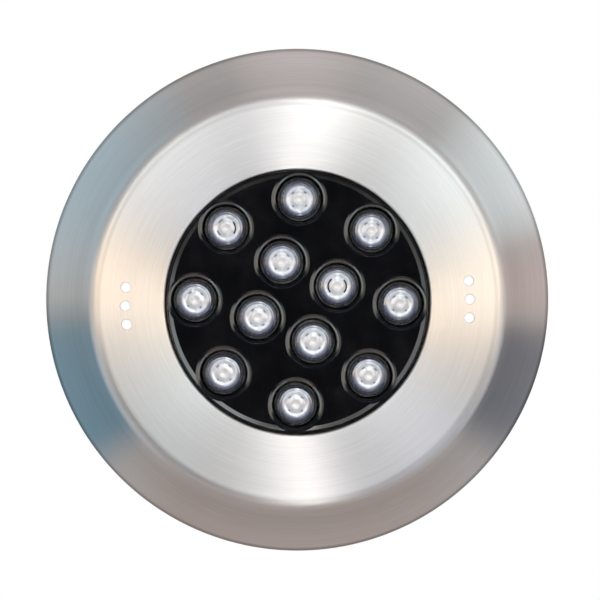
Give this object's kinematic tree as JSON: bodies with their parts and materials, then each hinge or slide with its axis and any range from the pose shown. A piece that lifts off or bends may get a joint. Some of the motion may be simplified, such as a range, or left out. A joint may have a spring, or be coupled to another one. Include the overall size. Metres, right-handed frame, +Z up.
{
  "type": "surface mount pool light",
  "caption": "Round brushed steel light for a pool wall: dished face, glass window over lenses in a black panel, and a twist-on bracket behind.",
  "frame": {"origin": "centre of the wall bracket's back face, where the lamp's axis meets the wall", "axes": "+Z up, +X to the right seen from the front, +Y into the wall, face looks to -Y"},
  "size_m": [0.27, 0.043, 0.27],
  "materials": {
    "brushed_face": "brushed in rings about the centre",
    "bracket_steel": "mill finish, bent plate",
    "inner_steel": "turned",
    "fastener_steel": "plain stainless",
    "window_glass": "clear, polished",
    "black_rubber": "matt",
    "panel_black": "glossy black moulding",
    "lens_clear": "clear moulded acrylic",
    "led_package": "pale yellow chip on white",
    "board_white": "white solder mask on metal core",
    "pad_grey": "soft grey sheet",
    "driver_black": "potted block",
    "terminal_green": "moulded terminal block",
    "gland_black": "moulded nylon"
  },
  "bodies": {
    "wall_side": {"wall_bracket": "bracket_steel", "bracket_pads": "black_rubber"},
    "lamp": {"faceplate": "brushed_face", "faceplate_studs": "fastener_steel", "faceplate_nuts": "fastener_steel", "clamp_ring": "inner_steel", "clamp_screws": "fastener_steel", "window_glass": "window_glass", "window_gasket": "black_rubber", "lens_panel": "panel_black", "lenses": "lens_clear", "led_board": "board_white", "thermal_pad": "pad_grey", "driver_module": "driver_black", "terminal_block": "terminal_green", "lamp_housing": "inner_steel", "lock_studs": "inner_steel", "gland_body": "gland_black", "gland_cap": "gland_black", "gland_seal": "black_rubber", "gland_locknut": "gland_black", "led_01": "led_package", "led_02": "led_package", "led_03": "led_package", "led_04": "led_package", "led_05": "led_package", "led_06": "led_package", "led_07": "led_package", "led_08": "led_package", "led_09": "led_package", "led_10": "led_package", "led_11": "led_package", "led_12": "led_package"}
  },
  "joints": [
    {"name": "lamp_twist", "type": "hinge", "parent": "wall_side", "child": "lamp", "pos_m": [0, 0, 0], "axis": [0, -1, 0], "range_deg": [0, 18]}
  ]
}
